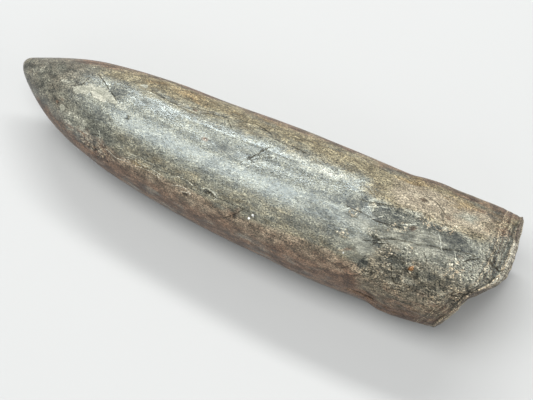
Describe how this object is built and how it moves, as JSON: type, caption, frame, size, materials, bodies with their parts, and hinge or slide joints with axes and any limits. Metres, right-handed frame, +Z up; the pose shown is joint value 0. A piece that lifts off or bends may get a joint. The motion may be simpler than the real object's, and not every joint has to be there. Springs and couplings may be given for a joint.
{
  "type": "belemnite fossil",
  "caption": "Bullet-shaped solid fossil guard with a blunt apex, a satin stone surface and a rough broken end, lying on its side.",
  "frame": {"origin": "middle of the footprint, on the surface that the fossil lies on", "axes": "+X along the fossil from its apex to its broken end, +Z up"},
  "size_m": [0.1124, 0.028, 0.0261],
  "materials": {
    "calcite": "satin"
  },
  "bodies": {
    "root": {"rostrum": "calcite"}
  },
  "joints": []
}
